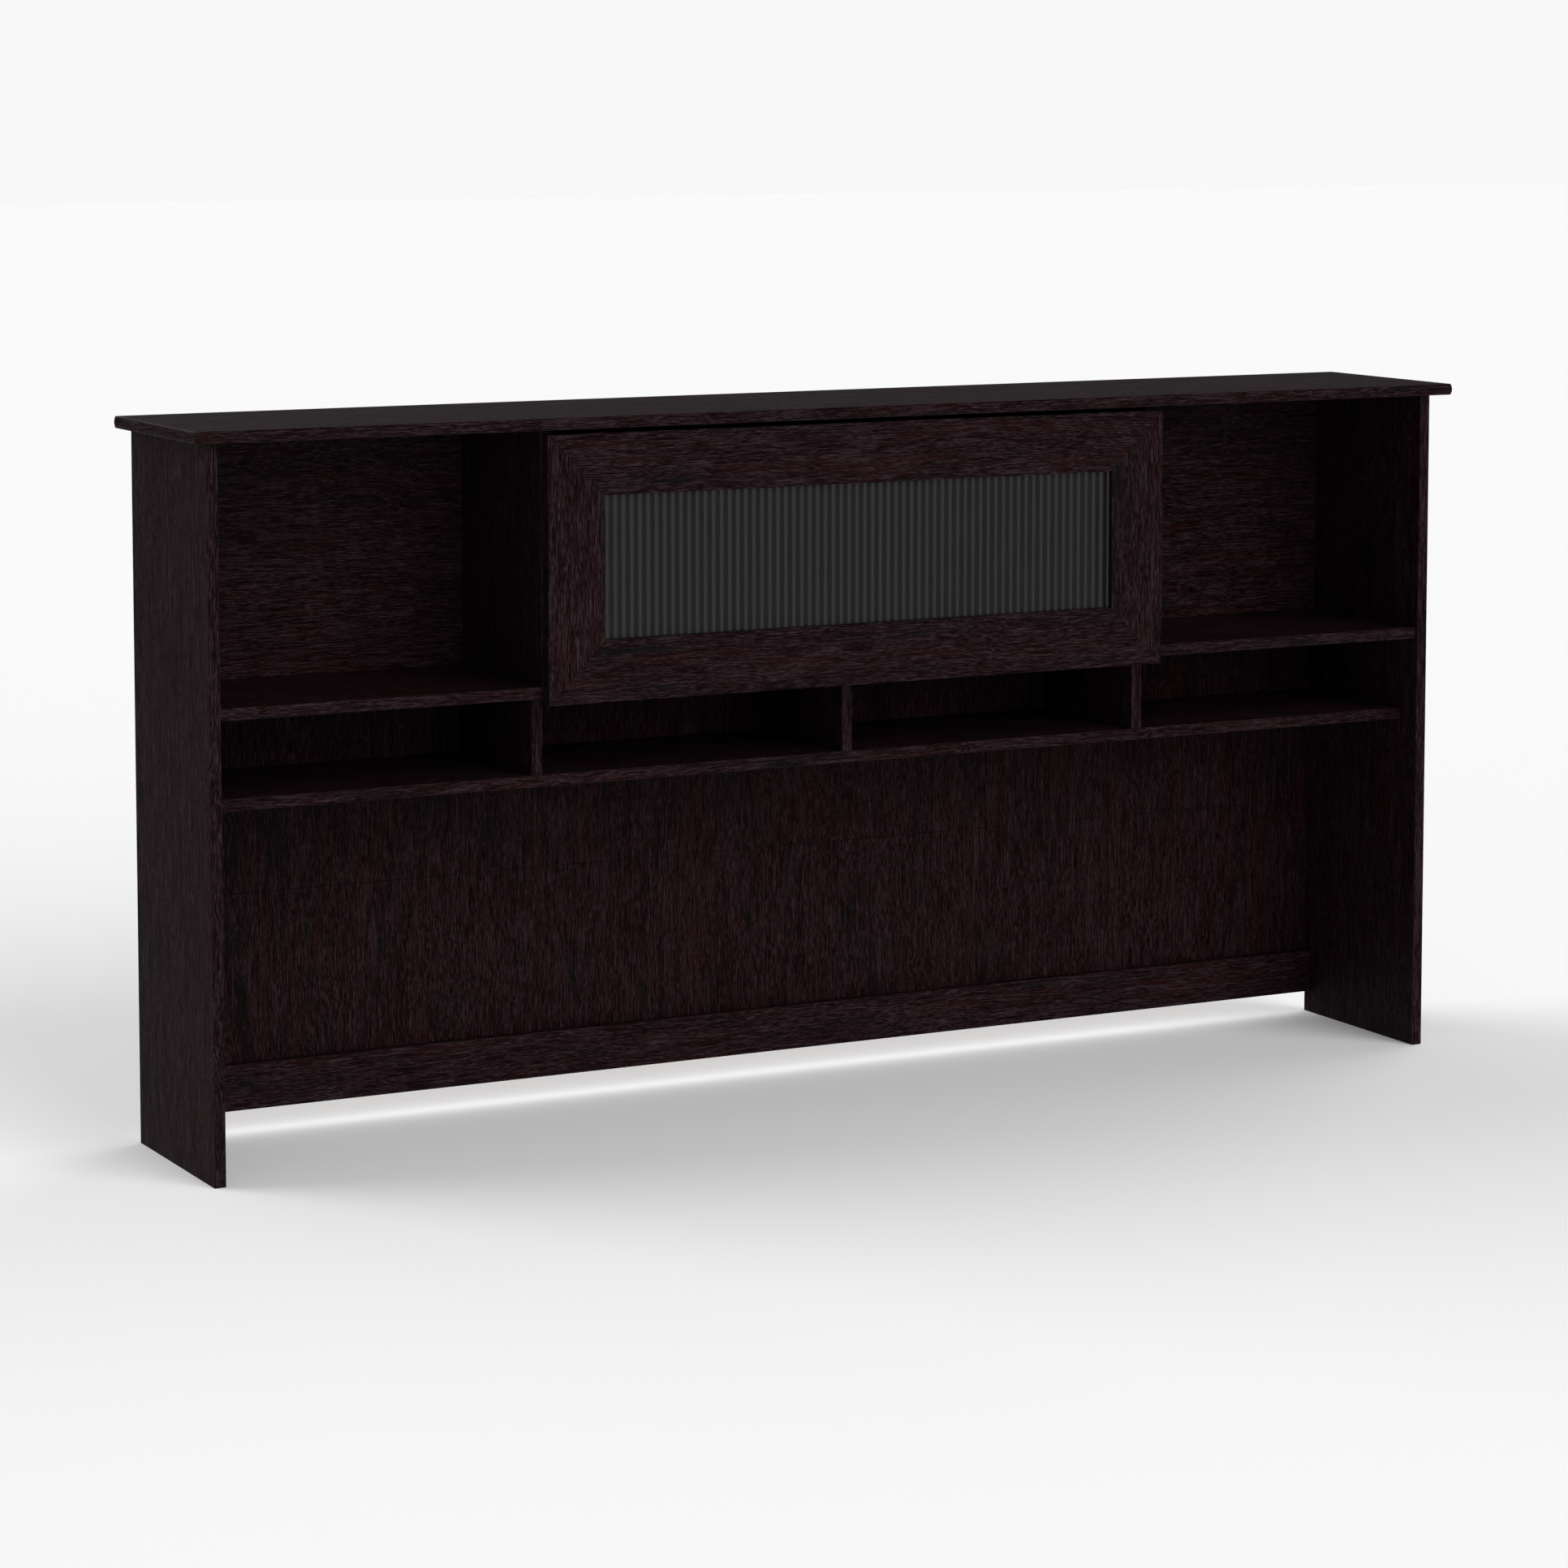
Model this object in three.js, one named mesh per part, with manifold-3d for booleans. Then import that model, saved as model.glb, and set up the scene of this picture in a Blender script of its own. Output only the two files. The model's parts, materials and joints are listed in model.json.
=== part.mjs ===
// Desk hutch: a free-standing shelf unit for the back of a desk.
// Millimetres, +Z up, +X to the right, front towards -Y. The origin is at the middle of the base.

import * as THREE from 'three';
import { mergeVertices } from 'three/addons/utils/BufferGeometryUtils.js';
import Module from 'manifold-3d';

const wasm = await Module();
wasm.setup();

// ---------------------------------------------------------------- driving dimensions

const HUTCH_WIDTH = 1820; // over the top panel
const HUTCH_HEIGHT = 921;
const BOARD = 15; // laminated particle board
const HARDBOARD = 3.2; // folding back panel
const SIDE_DEPTH = 266;
const TOP_OVERHANG = 22; // at both ends and at the front
const FIT_GAP = 0.3; // between pieces that touch
const OVERCUT = 1; // how far a cutting solid passes the face it opens

const RAIL_BOTTOM = 31; // cable gap beneath the rail
const RAIL_HEIGHT = 59.2;
const LOWER_SHELF_Z = 453.6; // undersides of the two shelves
const UPPER_SHELF_Z = 569.3;
const LOWER_SHELF_SETBACK = 36; // behind the front edges of the sides
const UPPER_SHELF_SETBACK = 3.3;
const PARTITION_X = 441; // centre planes of the cabinet's partitions and the outer dividers
const BACK_PANEL_INSET = 4;
const EDGE_BULGE = 1.6; // how far the top panel's edges swell
const EDGE_STEPS = 8;

const DOOR_WIDTH = 894.6;
const DOOR_HEIGHT = 337.5;
const DOOR_TOP_GAP = 6; // beneath the top panel
const DOOR_BACK_GAP = 3.2; // in front of the partitions, filled by the bumpers
const FRAME_WIDTH = 78;
const REBATE_WIDTH = 9;
const GLASS_RECESS = 8; // from the face of the frame to the crest of the flutes
const GLASS_THICKNESS = 4;
const FLUTE_PITCH = 11.43;
const FLUTE_DEPTH = 1.3;
const FLUTE_STEPS = 8;
const PANE_EDGE_GAP = 1; // between the pane and the sides of its rebate
const STRIP_THICKNESS = 2.1;
const STRIP_SETBACK = 1; // from the sight edge of the frame
const BUMPER_RADIUS = 4.2;
const BUMPER_FROM_PARTITION_CENTRE = 1.2;
const BUMPER_ABOVE_DOOR_BOTTOM = 40;

const HINGE_X = 330;
const AXIS_BELOW_DOOR_TOP = 6.5;
const AXIS_BEFORE_DOOR_BACK = 6.8;
const CUP_RADIUS = 17.5;
const CUP_DEPTH = 11.5;
const CUP_WALL = 0.8;
const CUP_BELOW_DOOR_TOP = 19.6;
const FLANGE_THICKNESS = 1.2;
const FLANGE_HALF_WIDTH = 28;
const FLANGE_HALF_HEIGHT = 9;
const FLANGE_HOLE_X = 23;
const FLANGE_HOLE_RADIUS = 2.2;
const PIN_RADIUS = 1.1;
const PIN_HALF_LENGTH = 7.6;
const EYE_RADIUS = 2.4;
const ARM_THICKNESS = 2.4;
const ARM_WIDTH = 10;
const ARM_DROP = 12; // into the cup, below the pin
const ARM_BACK = 15; // from the pin to the leg that climbs to the plate
const ARM_RISE = 7.1; // from the pin to the underside of the plate
const ARM_SHORT_OF_PLATE_REAR = 4;
const PLATE_FRONT = 17; // mounting plate, behind the hinge axis
const PLATE_REAR = 62;
const PLATE_HALF_WIDTH = 18;
const PLATE_THICKNESS = 3.2;
const PLATE_SCREW_X = 13;
const PLATE_HOLE_RADIUS = 3.8;
const SCREW_LENGTH = 13.5;
const SCREW_RADIUS = 1.5;
const SCREW_TIP = 2.5;
const SCREW_HEAD_RADIUS = 3.4;
const SCREW_HEAD_RIM = 1.2;
const SCREW_HEAD_DEPTH = 2.6;
const RECESS_LENGTH = 3.6;
const RECESS_WIDTH = 0.9;
const RECESS_DEPTH = 1;
const PILOT_DEPTH = 11.5;

const STAY_X = 420; // plane of each gas strut
const STAY_FOOT = { y: 30, z: 835 }; // pivot on the partition
const STAY_HEAD = { y: -108, z: 848 }; // pivot on the door, door closed
const TUBE_RADIUS = 7;
const TUBE_START = 8; // distances along the strut from the foot pivot
const TUBE_END = 112;
const BORE_START = 16;
const BORE_RADIUS = 3.5;
const ROD_RADIUS = 3;
const ROD_START = 20;
const STAY_EYE_RADIUS = 5;
const STAY_EYE_WIDTH = 6;
const TUBE_NECK_RADIUS = 2.6;
const STUD_RADIUS = 2.5;
const BRACKET_THICKNESS = 2;
const FOOT_HALF_DEPTH = 14;
const FOOT_HALF_HEIGHT = 12;
const HEAD_HALF_HEIGHT = 14;
const HEAD_FLANGE = 12; // width of the head bracket beyond its ear
const EAR_HALF_HEIGHT = 7;
const EAR_PAST_PIVOT = 5;
const EAR_FROM_EYE = 6;

const CAM_RADIUS = 7.2;
const CAM_HEIGHT = 12;
const CAM_SLOT_DEPTH = 2.5;
const CAM_SLOT_LENGTH = 9;
const CAM_SLOT_WIDTH = 1.6;
const CAM_FROM_END = 24;
const CAM_FROM_SHELF_FRONT = 45;
const CAM_FROM_SHELF_REAR = 40;
const CAM_FROM_BACK_EDGE = 60;

// ---------------------------------------------------------------- planes worked out from them

const halfWidth = HUTCH_WIDTH / 2;
const depth = TOP_OVERHANG + SIDE_DEPTH + FIT_GAP + HARDBOARD;
const topFront = -depth / 2;
const backRear = depth / 2;
const sideFront = topFront + TOP_OVERHANG;
const sideRear = sideFront + SIDE_DEPTH;
const sideOuter = halfWidth - TOP_OVERHANG;
const sideInner = sideOuter - BOARD;
const shelfEnd = sideInner - FIT_GAP;
const topUnderside = HUTCH_HEIGHT - BOARD;
const underTop = topUnderside - FIT_GAP;
const upperShelfFront = sideFront + UPPER_SHELF_SETBACK;
const lowerShelfFront = sideFront + LOWER_SHELF_SETBACK;
const upperShelfTop = UPPER_SHELF_Z + BOARD;
const lowerShelfTop = LOWER_SHELF_Z + BOARD;
const thickBackFront = sideRear - BOARD;
const doorBack = upperShelfFront - DOOR_BACK_GAP;
const doorFront = doorBack - BOARD;
const doorTop = topUnderside - DOOR_TOP_GAP;
const doorBottom = doorTop - DOOR_HEIGHT;
const hingeAxis = { y: doorBack - AXIS_BEFORE_DOOR_BACK, z: doorTop - AXIS_BELOW_DOOR_TOP };
const openingHalf = DOOR_WIDTH / 2 - FRAME_WIDTH;
const openingBottom = doorBottom + FRAME_WIDTH;
const openingTop = doorTop - FRAME_WIDTH;

// ---------------------------------------------------------------- materials

function material(color, roughness, metalness = 0) {
  return new THREE.MeshStandardMaterial({ color, roughness, metalness });
}

const oakLaminate = material(0x2a2021, 0.5);
const hardboard = material(0x2a2021, 0.55);
const flutedGlass = new THREE.MeshStandardMaterial({
  color: 0x5c5f5f, roughness: 0.25, metalness: 0, transparent: true, opacity: 0.6,
});
const nickelSteel = material(0xb9b9b5, 0.3, 1);
const zincAlloy = material(0x9b9b98, 0.45, 1);
const blackSteel = material(0x17181a, 0.4, 0.6);
const blackPlastic = material(0x1c1c1d, 0.6);
const clearRubber = material(0xc9c9c4, 0.5);

// ---------------------------------------------------------------- solids

/** A closed geometry as a manifold solid, with its shared corners merged. */
function solidOf(geometry) {
  geometry.deleteAttribute('normal');
  geometry.deleteAttribute('uv');
  const merged = mergeVertices(geometry, 1e-4);
  return new wasm.Manifold(new wasm.Mesh({
    numProp: 3,
    vertProperties: Float32Array.from(merged.attributes.position.array),
    triVerts: Uint32Array.from(merged.index.array),
  }));
}

function geometryOf(solid) {
  const { vertProperties, triVerts } = solid.getMesh();
  const geometry = new THREE.BufferGeometry();
  geometry.setAttribute('position', new THREE.BufferAttribute(vertProperties, 3));
  geometry.setIndex(new THREE.BufferAttribute(triVerts, 1));
  geometry.computeVertexNormals();
  return geometry;
}

function boxAt([x0, x1], [y0, y1], [z0, z1]) {
  const box = new THREE.BoxGeometry(x1 - x0, y1 - y0, z1 - z0);
  return box.translate((x0 + x1) / 2, (y0 + y1) / 2, (z0 + z1) / 2);
}

/** A round bar from start to end along x, y or z, centred on the other two axes. */
function roundBar(axis, radius, start, end, sides = 24) {
  const bar = new THREE.CylinderGeometry(radius, radius, end - start, sides);
  bar.translate(0, (start + end) / 2, 0);
  if (axis === 'x') bar.rotateZ(-Math.PI / 2);
  if (axis === 'z') bar.rotateX(Math.PI / 2);
  return bar;
}

/** Extrudes an outline of [y, z] points along x, from x0 to x1. */
function extrudeAlongX(outline, x0, x1) {
  const shape = new THREE.Shape(outline.map(([y, z]) => new THREE.Vector2(y, z)));
  const prism = new THREE.ExtrudeGeometry(shape, { depth: x1 - x0, bevelEnabled: false });
  const toRowAxes = new THREE.Matrix4().makeBasis(
    new THREE.Vector3(0, 1, 0), new THREE.Vector3(0, 0, 1), new THREE.Vector3(1, 0, 0),
  );
  return prism.applyMatrix4(toRowAxes).translate(x0, 0, 0);
}

/** Extrudes an outline of [x, z] points along y, from y0 to y1. */
function extrudeAlongY(outline, y0, y1) {
  const shape = new THREE.Shape(outline.map(([x, z]) => new THREE.Vector2(x, z)));
  const prism = new THREE.ExtrudeGeometry(shape, { depth: y1 - y0, bevelEnabled: false });
  return prism.rotateX(Math.PI / 2).translate(0, y1, 0);
}

/** Points of a swelling edge from [at, z0] to [at, z1]: a flat arc that bulges towards `out`. */
function swellingEdge(at, out, z0, z1) {
  const half = (z1 - z0) / 2;
  const radius = (half * half + EDGE_BULGE * EDGE_BULGE) / (2 * EDGE_BULGE);
  const sweep = Math.asin(half / radius);
  const points = [];
  for (let step = 0; step <= EDGE_STEPS; step += 1) {
    const angle = -sweep + (2 * sweep * step) / EDGE_STEPS;
    const proud = radius * (Math.cos(angle) - Math.cos(sweep));
    points.push([at + out * (proud - EDGE_BULGE), (z0 + z1) / 2 + radius * Math.sin(angle)]);
  }
  return points;
}

// ---------------------------------------------------------------- scene graph

const hutch = new THREE.Group();

function addPiece(parent, name, geometry, pieceMaterial, position = [0, 0, 0]) {
  const mesh = new THREE.Mesh(geometry, pieceMaterial);
  mesh.name = name;
  mesh.position.set(...position);
  parent.add(mesh);
  return mesh;
}

/** A square board that fills three spans, less any bores, which are solids round its centre. */
function addBoard(parent, name, spans, bores = [], boardMaterial = oakLaminate) {
  const sizes = spans.map(([low, high]) => high - low);
  const centre = spans.map(([low, high]) => (low + high) / 2);
  let geometry = new THREE.BoxGeometry(...sizes);
  if (bores.length > 0) {
    let solid = solidOf(geometry);
    for (const bore of bores) solid = solid.subtract(solidOf(bore));
    geometry = geometryOf(solid);
  }
  return addPiece(parent, name, geometry, boardMaterial, centre);
}

// ---------------------------------------------------------------- carcass boards

/** Pilot holes for the hinge-plate screws, in the top panel's underside. */
function pilotHoles() {
  const y = hingeAxis.y + (PLATE_FRONT + PLATE_REAR) / 2;
  const holes = [];
  for (const x of [-HINGE_X, HINGE_X]) {
    for (const offset of [-PLATE_SCREW_X, PLATE_SCREW_X]) {
      const radius = SCREW_RADIUS + FIT_GAP;
      const hole = roundBar('z', radius, topUnderside - OVERCUT, topUnderside + PILOT_DEPTH, 16);
      holes.push(hole.translate(x + offset, y, 0));
    }
  }
  return holes;
}

function addTopPanel() {
  const sideView = [
    [sideRear, topUnderside],
    [sideRear, HUTCH_HEIGHT],
    ...swellingEdge(topFront, -1, topUnderside, HUTCH_HEIGHT).reverse(),
  ];
  const frontView = [
    ...swellingEdge(-halfWidth, -1, topUnderside, HUTCH_HEIGHT).reverse(),
    ...swellingEdge(halfWidth, 1, topUnderside, HUTCH_HEIGHT),
  ];
  const lengthwise = solidOf(extrudeAlongX(sideView, -halfWidth - OVERCUT, halfWidth + OVERCUT));
  const crosswise = solidOf(extrudeAlongY(frontView, topFront - OVERCUT, sideRear + OVERCUT));
  let panel = lengthwise.intersect(crosswise);
  for (const hole of pilotHoles()) panel = panel.subtract(solidOf(hole));
  addPiece(hutch, 'top_panel', geometryOf(panel), oakLaminate);
}

function addSides() {
  for (const [name, x0, x1] of [
    ['left_side_panel', -sideOuter, -sideInner],
    ['right_side_panel', sideInner, sideOuter],
  ]) {
    addBoard(hutch, name, [[x0, x1], [sideFront, sideRear], [0, underTop]]);
  }
}

/** Two-part furniture connector: a cam disc that sits flush in a blind bore. */
function camLock(axis, outward) {
  const body = roundBar(axis, CAM_RADIUS, 0, CAM_HEIGHT, 20);
  const across = { x: CAM_SLOT_LENGTH, y: CAM_SLOT_LENGTH, z: CAM_SLOT_LENGTH };
  const along = { ...across };
  const thin = axis === 'z' ? ['x', 'y'] : ['x', 'z'];
  across[thin[0]] = CAM_SLOT_WIDTH;
  along[thin[1]] = CAM_SLOT_WIDTH;
  const faceAt = outward > 0 ? CAM_HEIGHT : 0;
  let solid = solidOf(body);
  for (const size of [across, along]) {
    size[axis] = CAM_SLOT_DEPTH * 2;
    const slot = new THREE.BoxGeometry(size.x, size.y, size.z);
    slot.translate(0, axis === 'y' ? faceAt : 0, axis === 'z' ? faceAt : 0);
    solid = solid.subtract(solidOf(slot));
  }
  return geometryOf(solid);
}

/** A shelf between the sides, with four cam locks let into its underside. */
function addShelf(name, front, underside) {
  const rows = { front: front + CAM_FROM_SHELF_FRONT, rear: sideRear - CAM_FROM_SHELF_REAR };
  const ends = { left: -shelfEnd + CAM_FROM_END, right: shelfEnd - CAM_FROM_END };
  const middleY = (front + sideRear) / 2;
  const bores = [];
  for (const [end, x] of Object.entries(ends)) {
    for (const [row, y] of Object.entries(rows)) {
      const bore = roundBar('z', CAM_RADIUS + FIT_GAP, -BOARD, CAM_HEIGHT + FIT_GAP - BOARD / 2, 20);
      bores.push(bore.translate(x, y - middleY, 0));
      addPiece(hutch, `${name}_${end}_${row}_cam`, camLock('z', -1), zincAlloy, [x, y, underside]);
    }
  }
  const spans = [[-shelfEnd, shelfEnd], [front, sideRear], [underside, underside + BOARD]];
  addBoard(hutch, name, spans, bores);
}

/** Thick back of the upper compartments, with its cam locks let into the rear face. */
function addUpperBack() {
  const z0 = upperShelfTop + FIT_GAP;
  const rows = { lower: z0 + CAM_FROM_BACK_EDGE, upper: underTop - CAM_FROM_BACK_EDGE };
  const ends = { left: -shelfEnd + CAM_FROM_END, right: shelfEnd - CAM_FROM_END };
  const middleZ = (z0 + underTop) / 2;
  const bores = [];
  for (const [end, x] of Object.entries(ends)) {
    for (const [row, z] of Object.entries(rows)) {
      const bore = roundBar('y', CAM_RADIUS + FIT_GAP, BOARD / 2 - CAM_HEIGHT - FIT_GAP, BOARD, 20);
      bores.push(bore.translate(x, 0, z - middleZ));
      const seat = [x, sideRear - CAM_HEIGHT, z];
      addPiece(hutch, `upper_back_${end}_${row}_cam`, camLock('y', 1), zincAlloy, seat);
    }
  }
  const spans = [[-shelfEnd, shelfEnd], [thickBackFront, sideRear], [z0, underTop]];
  addBoard(hutch, 'upper_back_panel', spans, bores);
}

/** Upright boards: two partitions beside the cabinet, three dividers between the shelves. */
function addUprights() {
  const partitionSpan = [upperShelfTop + FIT_GAP, underTop];
  const dividerSpan = [lowerShelfTop + FIT_GAP, UPPER_SHELF_Z - FIT_GAP];
  const across = (x) => [x - BOARD / 2, x + BOARD / 2];
  const partitionDepth = [upperShelfFront, thickBackFront - FIT_GAP];
  for (const [name, x] of [['left_partition', -PARTITION_X], ['right_partition', PARTITION_X]]) {
    addBoard(hutch, name, [across(x), partitionDepth, partitionSpan]);
  }
  const dividers = [['left_divider', -PARTITION_X], ['center_divider', 0], ['right_divider', PARTITION_X]];
  for (const [name, x] of dividers) {
    addBoard(hutch, name, [across(x), [lowerShelfFront, sideRear], dividerSpan]);
  }
}

/** Bottom rail, and the hardboard back that folds along its middle. */
function addLowerBack() {
  const railSpan = [RAIL_BOTTOM, RAIL_BOTTOM + RAIL_HEIGHT];
  addBoard(hutch, 'bottom_rail', [[-shelfEnd, shelfEnd], [thickBackFront, sideRear], railSpan]);

  const panelHalf = sideOuter - BACK_PANEL_INSET;
  const panelTop = upperShelfTop - FIT_GAP;
  const fold = (RAIL_BOTTOM + panelTop) / 2;
  const leaves = [
    ['back_panel_lower_leaf', RAIL_BOTTOM, fold - FIT_GAP],
    ['back_panel_upper_leaf', fold + FIT_GAP, panelTop],
  ];
  for (const [name, z0, z1] of leaves) {
    const spans = [[-panelHalf, panelHalf], [backRear - HARDBOARD, backRear], [z0, z1]];
    addBoard(hutch, name, spans, [], hardboard);
  }
}

// ---------------------------------------------------------------- door

/**
 * One mitred member of the door frame, drawn as if it were the bottom rail of a frame `length` long:
 * outer edge at z = 0, opening towards +z, face at y = 0 and back at y = BOARD, middle at x = 0.
 */
function frameMember(length) {
  const half = length / 2;
  const trim = FIT_GAP / 2;
  const plan = [
    [-half + trim, 0],
    [half - trim, 0],
    [half - FRAME_WIDTH - trim, FRAME_WIDTH],
    [-half + FRAME_WIDTH + trim, FRAME_WIDTH],
  ];
  const rebate = boxAt(
    [-half, half],
    [GLASS_RECESS - FIT_GAP, BOARD + OVERCUT],
    [FRAME_WIDTH - REBATE_WIDTH, FRAME_WIDTH + OVERCUT],
  );
  return solidOf(extrudeAlongY(plan, 0, BOARD)).subtract(solidOf(rebate));
}

/** The seat and mouth of a hinge cup, cut from the back of the door's top rail. */
function cupBore(x) {
  const floor = BOARD - CUP_DEPTH - FIT_GAP;
  const bore = roundBar('y', CUP_RADIUS + FIT_GAP, floor, BOARD + OVERCUT, 40);
  return solidOf(bore.translate(x, 0, CUP_BELOW_DOOR_TOP));
}

/** Mitred frame: each member is turned about the door's centre line to face the opening. */
function addDoorFrame(door) {
  const centreZ = (doorBottom + doorTop) / 2;
  const topRail = frameMember(DOOR_WIDTH)
    .subtract(cupBore(-HINGE_X))
    .subtract(cupBore(HINGE_X));
  const members = [
    ['door_bottom_rail', frameMember(DOOR_WIDTH), 0, DOOR_HEIGHT / 2],
    ['door_top_rail', topRail, Math.PI, DOOR_HEIGHT / 2],
    ['door_left_stile', frameMember(DOOR_HEIGHT), Math.PI / 2, DOOR_WIDTH / 2],
    ['door_right_stile', frameMember(DOOR_HEIGHT), -Math.PI / 2, DOOR_WIDTH / 2],
  ];
  for (const [name, solid, turn, reach] of members) {
    const geometry = geometryOf(solid).translate(0, 0, -reach).rotateY(turn);
    addPiece(door, name, geometry, oakLaminate, [0, doorFront, centreZ]);
  }
}

/** Glass pane with upright flutes on its face, and the four strips that hold it in the rebate. */
function addGlazing(door) {
  const reach = REBATE_WIDTH - PANE_EDGE_GAP;
  const halfPane = openingHalf + reach;
  const steps = Math.round((2 * halfPane) / FLUTE_PITCH) * FLUTE_STEPS;
  const pane = new THREE.Shape();
  pane.moveTo(halfPane, GLASS_THICKNESS);
  pane.lineTo(-halfPane, GLASS_THICKNESS);
  for (let step = 0; step <= steps; step += 1) {
    const phase = (2 * Math.PI * step) / FLUTE_STEPS;
    const x = -halfPane + (2 * halfPane * step) / steps;
    pane.lineTo(x, (FLUTE_DEPTH * (1 + Math.cos(phase))) / 2);
  }
  const paneHeight = openingTop - openingBottom + 2 * reach;
  const geometry = new THREE.ExtrudeGeometry(pane, { depth: paneHeight, bevelEnabled: false });
  const glassFront = doorFront + GLASS_RECESS;
  addPiece(door, 'door_glass', geometry, flutedGlass, [0, glassFront, openingBottom - reach]);

  const y0 = glassFront + GLASS_THICKNESS + FIT_GAP;
  const depthSpan = [y0, y0 + STRIP_THICKNESS];
  const outer = REBATE_WIDTH - FIT_GAP;
  const long = openingHalf + outer;
  const strips = [
    ['glass_strip_bottom', [-long, long], [openingBottom - outer, openingBottom - STRIP_SETBACK]],
    ['glass_strip_top', [-long, long], [openingTop + STRIP_SETBACK, openingTop + outer]],
    ['glass_strip_left', [-long, -openingHalf - STRIP_SETBACK], [openingBottom, openingTop]],
    ['glass_strip_right', [openingHalf + STRIP_SETBACK, long], [openingBottom, openingTop]],
  ];
  for (const [name, spanX, spanZ] of strips) {
    addBoard(door, name, [spanX, depthSpan, spanZ], [], blackPlastic);
  }
}

/** Clear stick-on bumpers on the back of the door, facing the partitions. */
function addBumpers(door) {
  const height = DOOR_BACK_GAP - 2 * FIT_GAP;
  const fromCentre = PARTITION_X - BUMPER_FROM_PARTITION_CENTRE;
  for (const [name, x] of [['left_door_bumper', -fromCentre], ['right_door_bumper', fromCentre]]) {
    const disc = roundBar('y', BUMPER_RADIUS, 0, height, 20);
    const seat = [x, doorBack + FIT_GAP, doorBottom + BUMPER_ABOVE_DOOR_BOTTOM];
    addPiece(door, name, disc, clearRubber, seat);
  }
}

// ---------------------------------------------------------------- hinges

/** Drawn cup with its flange, mouth towards +y, round the door's hinge pin line. */
function hingeCup() {
  const seat = AXIS_BEFORE_DOOR_BACK + FIT_GAP;
  const face = seat + FLANGE_THICKNESS;
  const base = AXIS_BEFORE_DOOR_BACK - CUP_DEPTH;
  const can = roundBar('y', CUP_RADIUS, base, face, 40);
  const flange = boxAt(
    [-FLANGE_HALF_WIDTH, FLANGE_HALF_WIDTH],
    [seat, face],
    [-FLANGE_HALF_HEIGHT, FLANGE_HALF_HEIGHT],
  );
  const hollow = roundBar('y', CUP_RADIUS - CUP_WALL, base + CUP_WALL, face + OVERCUT, 40);
  let cup = solidOf(can).add(solidOf(flange)).subtract(solidOf(hollow));
  for (const x of [-FLANGE_HOLE_X, FLANGE_HOLE_X]) {
    const hole = roundBar('y', FLANGE_HOLE_RADIUS, seat - OVERCUT, face + OVERCUT, 16);
    cup = cup.subtract(solidOf(hole.translate(x, 0, 0)));
  }
  return geometryOf(cup).translate(0, 0, AXIS_BELOW_DOOR_TOP - CUP_BELOW_DOOR_TOP);
}

/** Cranked arm: an eye round the pin, down and out of the cup, and up to the plate. */
function hingeArm() {
  const t = ARM_THICKNESS / 2;
  const rear = PLATE_REAR - ARM_SHORT_OF_PLATE_REAR;
  const outline = [
    [-t, 0],
    [-t, -ARM_DROP - t],
    [ARM_BACK + t, -ARM_DROP - t],
    [ARM_BACK + t, ARM_RISE - t],
    [rear, ARM_RISE - t],
    [rear, ARM_RISE + t],
    [ARM_BACK - t, ARM_RISE + t],
    [ARM_BACK - t, -ARM_DROP + t],
    [t, -ARM_DROP + t],
    [t, 0],
  ];
  const arm = solidOf(extrudeAlongX(outline, -ARM_WIDTH / 2, ARM_WIDTH / 2));
  const eye = solidOf(roundBar('x', EYE_RADIUS, -ARM_WIDTH / 2, ARM_WIDTH / 2, 24));
  const hole = solidOf(roundBar('x', PIN_RADIUS + FIT_GAP, -ARM_WIDTH, ARM_WIDTH, 24));
  return geometryOf(arm.add(eye).subtract(hole));
}

/** Countersunk screw with a crossed recess, head down, shank up into the panel above. */
function plateScrew() {
  const head = new THREE.LatheGeometry([
    new THREE.Vector2(0, 0),
    new THREE.Vector2(SCREW_HEAD_RADIUS, 0),
    new THREE.Vector2(SCREW_HEAD_RADIUS, SCREW_HEAD_RIM),
    new THREE.Vector2(SCREW_RADIUS, SCREW_HEAD_DEPTH),
    new THREE.Vector2(SCREW_RADIUS, SCREW_LENGTH - SCREW_TIP),
    new THREE.Vector2(0, SCREW_LENGTH),
  ], 20);
  const recess = [
    new THREE.BoxGeometry(RECESS_LENGTH, RECESS_WIDTH, 2 * RECESS_DEPTH),
    new THREE.BoxGeometry(RECESS_WIDTH, RECESS_LENGTH, 2 * RECESS_DEPTH),
  ];
  let screw = solidOf(head.rotateX(Math.PI / 2));
  for (const bar of recess) screw = screw.subtract(solidOf(bar));
  return geometryOf(screw);
}

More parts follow.
